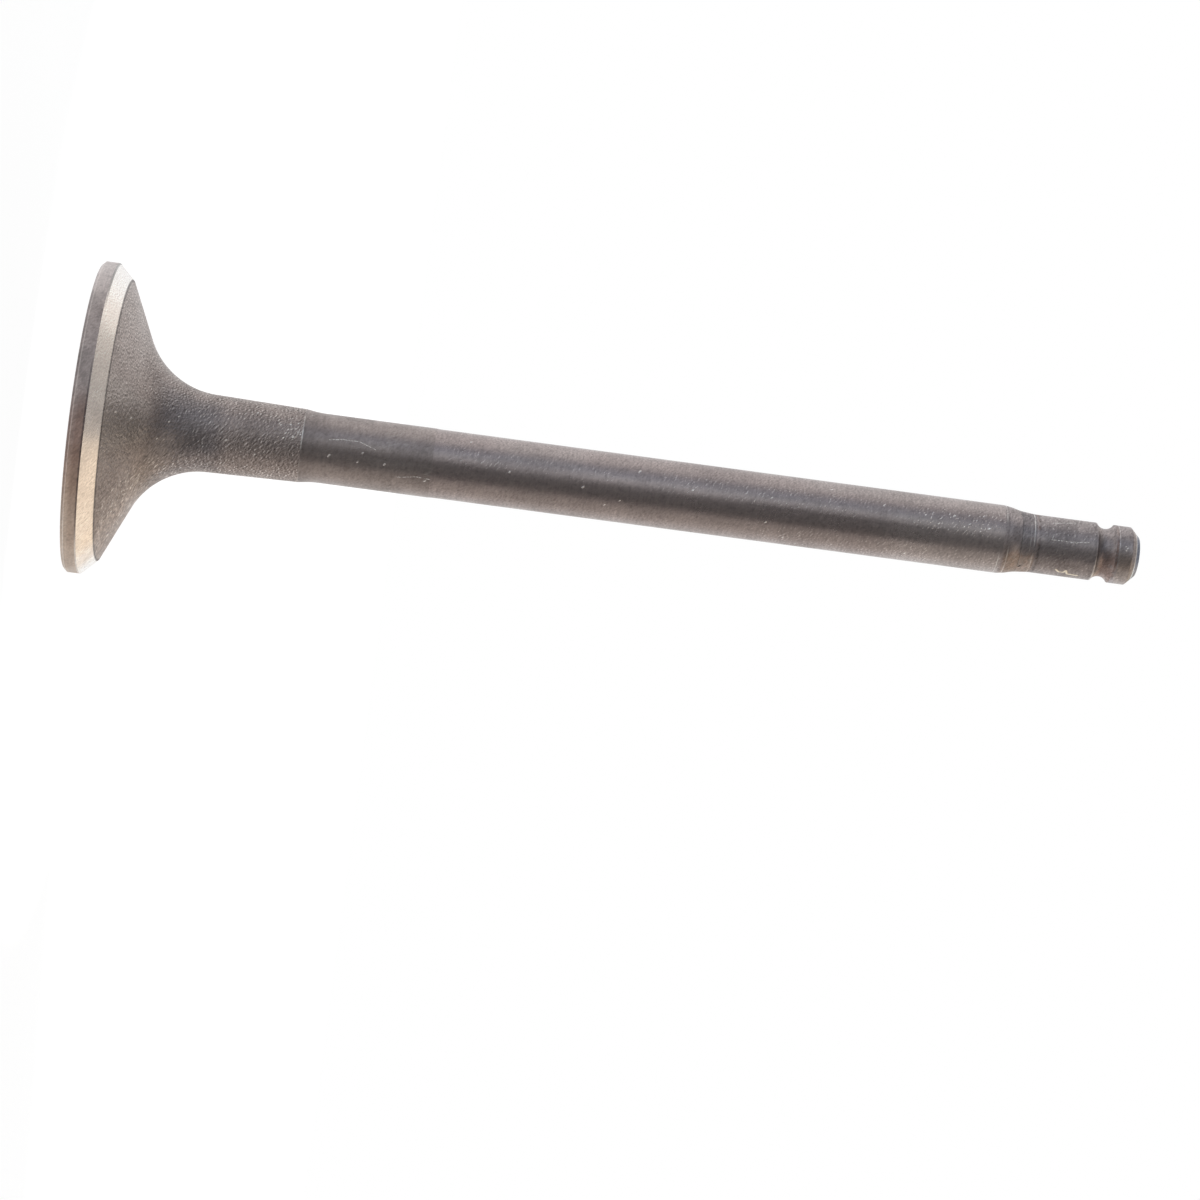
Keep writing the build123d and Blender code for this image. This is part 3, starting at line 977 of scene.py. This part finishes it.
FLOOR_HALF = 4.0                     # metres, as all lengths of the studio here
FLOOR_LEVEL, MAT_LEVEL, CARD_LEVEL = -0.02 * MM, 0.5 * MM, 0.45
CARD_STEPS = 48                      # faces round the banded card
CLOUDS_PER_METRE, CLOUD_SHADE = 3.0, 0.96
FLAT_CARDS = (      # name, then the low and the high corner over the floor, in metres
    ("grey_card", (-0.14, -0.42), (0.10, 0.08)), ("dark_card", (0.10, -0.42), (0.40, 0.08)),
    ("pale_card", (-0.80, -0.16), (-0.14, 0.08)), ("light_card", (-0.80, -0.42), (-0.14, -0.16)),
    ("warm_card", (-0.70, 0.08), (0.40, 0.60)))
CARD_BANDS = (      # turn round the valve from behind the camera, in degrees, and paint
    (-110, (1.0, 1.0, 1.0)), (-92, (0.95, 0.95, 0.95)), (-78, (0.78, 0.78, 0.79)),
    (-66, (0.57, 0.585, 0.63)), (-56, (0.46, 0.495, 0.56)), (-46, (0.52, 0.57, 0.66)),
    (-36, (0.74, 0.81, 0.88)), (-24, (0.84, 0.88, 0.91)), (-15, (0.54, 0.55, 0.565)),
    (-8, (0.28, 0.28, 0.285)), (0, (0.215, 0.215, 0.22)), (16, (0.20, 0.20, 0.20)),
    (36, (0.175, 0.172, 0.172)), (46, (0.25, 0.235, 0.23)), (54, (0.49, 0.455, 0.435)),
    (66, (0.61, 0.575, 0.54)), (84, (0.67, 0.63, 0.595)), (104, (0.87, 0.84, 0.81)),
    (118, (1.0, 0.98, 0.96)))
FIRST_TURN, LAST_TURN = radians(CARD_BANDS[0][0]), radians(CARD_BANDS[-1][0])
SENSOR_WIDTH = 36.0                  # millimetres
CLIP_START, CLIP_END = 0.01, 50.0
LAMP_WIDTH = 0.5
LAMPS = (           # name, place and aim in metres, colour
    ("cool_lamp", (-0.25, -0.65, 0.45), (0.0, 0.0, 0.06), (1.0, 0.98, 0.98)),
    ("warm_lamp", (-0.20, 0.65, 0.40), (0.0, 0.0, 0.05), (1.0, 0.93, 0.84)))


def seen_rays(w):
    """One for what the camera, a reflection or glass sees, nought for plain light."""
    path = w.tree.nodes.new("ShaderNodeLightPath").outputs
    return strongest(w, [path[f"Is {kind} Ray"] for kind in ("Glossy", "Transmission", "Camera")])


def matt_material(name):
    """A matt material without its paint, and the wiring of its nodes."""
    material = bpy.data.materials.new(name)
    material.use_nodes = True
    w = Wiring(material.node_tree)
    w.feed(w.tree.nodes["Principled BSDF"], "Roughness", 1.0)
    return material, w


def cloudy_material(name, tone):
    """A matt material of one paint, a little cloudy, and the wiring of its nodes."""
    material, w = matt_material(name)
    cloud = w.spread(w.noise(w.put("ShaderNodeTexCoord", "Object"), CLOUDS_PER_METRE), 0.3, 0.7)
    w.feed(w.tree.nodes["Principled BSDF"], "Base Color",
           w.tint(cloud, tone, [CLOUD_SHADE * part for part in tone]))
    return material, w


def show_glow(w, tone, strength=1.0, amount=1.0):
    """Blends a plain glow into what the camera and reflections see of a matt material."""
    nodes = w.tree.nodes
    glow = w.put("ShaderNodeEmission", color=tone, strength=strength)
    matt = nodes["Principled BSDF"].outputs["BSDF"]
    blend = w.put("ShaderNodeMixShader", values=(seen_rays(w) * amount, matt, glow))
    w.feed(nodes["Material Output"], "Surface", blend)


def card_material(name, tone):
    """Matt card whose reflection in the steel shows its paint plainly."""
    material, w = cloudy_material(name, tone)
    show_glow(w, tone)
    return material


def banded_material(name):
    """A card's material in soft bands round the valve, from cool to dark to warm."""
    material, w = matt_material(name)
    x, y, _ = w.split(w.put("ShaderNodeTexCoord", "Object"))
    share_round = (w.math("ARCTAN2", y, x) - FIRST_TURN) / (LAST_TURN - FIRST_TURN)
    paint = w.put("ShaderNodeValToRGB", fac=share_round)
    stops = paint.socket.node.color_ramp.elements
    while len(stops) < len(CARD_BANDS):
        stops.new(0.5)
    for stop, (turn, tone) in zip(stops, CARD_BANDS):
        stop.position = (radians(turn) - FIRST_TURN) / (LAST_TURN - FIRST_TURN)
        stop.color = (*tone, 1.0)
    w.feed(w.tree.nodes["Principled BSDF"], "Base Color", paint)
    show_glow(w, paint)
    return material


def stage_piece(name, scene, points, faces, material, seen=False):
    """A piece of the stage, which the camera sees only where it is told to."""
    mesh = bpy.data.meshes.new(name)
    mesh.from_pydata(points, [], faces)
    mesh.materials.append(material)
    piece = bpy.data.objects.new(name, mesh)
    scene.collection.objects.link(piece)
    piece.visible_camera = seen


def level_piece(name, scene, low, high, height, material, seen=False):
    """A level rectangle between two corners, facing down where x and y both rise."""
    points = [(low[0], low[1], height), (low[0], high[1], height),
              (high[0], high[1], height), (high[0], low[1], height)]
    stage_piece(name, scene, points, [(0, 1, 2, 3)], material, seen)


def soft_lamp(name, scene, place, aim, power, tone):
    """A square lamp that no reflection shows, as the cards and the room are there for that."""
    lamp = bpy.data.lights.new(name, "AREA")
    lamp.shape = "SQUARE"
    lamp.size = LAMP_WIDTH
    lamp.energy = power
    lamp.color = tone
    holder = bpy.data.objects.new(name, lamp)
    holder.location = place
    holder.visible_glossy = False
    holder.rotation_euler = (Vector(aim) - Vector(place)).to_track_quat("-Z", "Y").to_euler()
    scene.collection.objects.link(holder)


def turned_pair(one, other, turn):
    """Two square directions, the first turned towards the second."""
    return one * cos(turn) + other * sin(turn), other * cos(turn) - one * sin(turn)


class VALVE_OT_set_studio(bpy.types.Operator):
    """Sets the pale floor, the cards, the soft lamps, the white room and the camera"""
    bl_idname = "valve.set_studio"
    bl_label = "Set the studio"

    def execute(self, context):
        scene, studio = context.scene, context.scene.valve_studio
        self.lay_floor(scene, studio)
        self.stand_cards(scene, studio)
        self.light_room(scene, studio)
        self.place_camera(scene, studio)
        scene.view_settings.view_transform = "Standard"
        return {"FINISHED"}

    def lay_floor(self, scene, studio):
        material, w = cloudy_material("pale_floor", studio.floor_colour)
        show_glow(w, (1.0, 1.0, 1.0), studio.glow_strength, studio.floor_glow)
        # From its first corner to its second x falls and y rises, so it faces up.
        level_piece("floor", scene, (FLOOR_HALF, -FLOOR_HALF), (-FLOOR_HALF, FLOOR_HALF),
                    FLOOR_LEVEL, material, seen=True)

    def stand_cards(self, scene, studio):
        """A banded card round the camera side, its mat, and level cards over the valve."""
        material = banded_material("banded_card")
        turns = [FIRST_TURN + (LAST_TURN - FIRST_TURN) * k / CARD_STEPS
                 for k in range(CARD_STEPS + 1)]
        faces = [(2 * k, 2 * k + 1, 2 * k + 3, 2 * k + 2) for k in range(CARD_STEPS)]
        far, near = studio.card_radius, studio.mat_radius
        for name, rims in (("banded_card", ((far, 0.0), (far, studio.card_height))),
                           ("banded_mat", ((far, MAT_LEVEL), (near, MAT_LEVEL)))):
            points = [(radius * cos(turn), radius * sin(turn), z)
                      for turn in turns for radius, z in rims]
            stage_piece(name, scene, points, faces, material)
        for name, low, high in FLAT_CARDS:
            tone = getattr(studio, name + "_colour")
            level_piece(name, scene, low, high, CARD_LEVEL, card_material(name, tone))

    def light_room(self, scene, studio):
        for name, place, aim, tone in LAMPS:
            soft_lamp(name, scene, place, aim, studio.lamp_power, tone)
        world = scene.world = bpy.data.worlds.new("white_room")
        world.use_nodes = True
        w = Wiring(world.node_tree)
        room = world.node_tree.nodes["Background"]
        w.feed(room, "Color", (1.0, 1.0, 1.0))
        level = seen_rays(w) * (1.0 - studio.world_level) + studio.world_level
        w.feed(room, "Strength", level)

    def place_camera(self, scene, studio):
        forward, right, down = Vector((-1, 0, 0)), Vector((0, 0, 1)), Vector((0, 1, 0))
        forward, right = turned_pair(forward, right, studio.camera_yaw)
        forward, down = turned_pair(forward, down, studio.camera_pitch)
        right, down = turned_pair(right, down, studio.camera_roll)
        lens = bpy.data.cameras.new("studio_camera")
        lens.lens, lens.sensor_width = studio.camera_lens, SENSOR_WIDTH
        lens.clip_start, lens.clip_end = CLIP_START, CLIP_END
        camera = scene.camera = bpy.data.objects.new("studio_camera", lens)
        turned = Matrix((right, -down, -forward)).transposed().to_4x4()
        spot = (studio.camera_distance, 0.0, studio.camera_height)
        camera.matrix_world = Matrix.Translation(spot) @ turned
        scene.collection.objects.link(camera)


# ---------------------------------------------------------------- the add-on

class VALVE_PT_maker(bpy.types.Panel):
    """Lists the steps that make the valve and its studio"""
    bl_label = "Engine valve"
    bl_idname = "VALVE_PT_maker"
    bl_space_type = "VIEW_3D"
    bl_region_type = "UI"
    bl_category = "Engine valve"

    def draw(self, context):
        for settings, operator in (("valve_shape", VALVE_OT_turn_body), ("valve_finish", None),
                                   ("valve_studio", VALVE_OT_set_studio)):
            box = self.layout.box()
            group = getattr(context.scene, settings)
            for name in group.bl_rna.properties.keys():
                if name not in ("rna_type", "name"):
                    box.prop(group, name)
            if operator:
                box.operator(operator.bl_idname)


SETTINGS = {"valve_shape": ValveShape, "valve_finish": ValveFinish, "valve_studio": StudioSettings}
CLASSES = (*SETTINGS.values(), VALVE_OT_turn_body, VALVE_OT_set_studio, VALVE_PT_maker)


def register():
    for one in CLASSES:
        bpy.utils.register_class(one)
    for name, group in SETTINGS.items():
        setattr(bpy.types.Scene, name, PointerProperty(type=group))


def unregister():
    for name in SETTINGS:
        delattr(bpy.types.Scene, name)
    for one in reversed(CLASSES):
        bpy.utils.unregister_class(one)


def main():
    register()
    bpy.ops.valve.set_studio()
    bpy.ops.valve.turn_body()


if __name__ == "__main__":
    main()
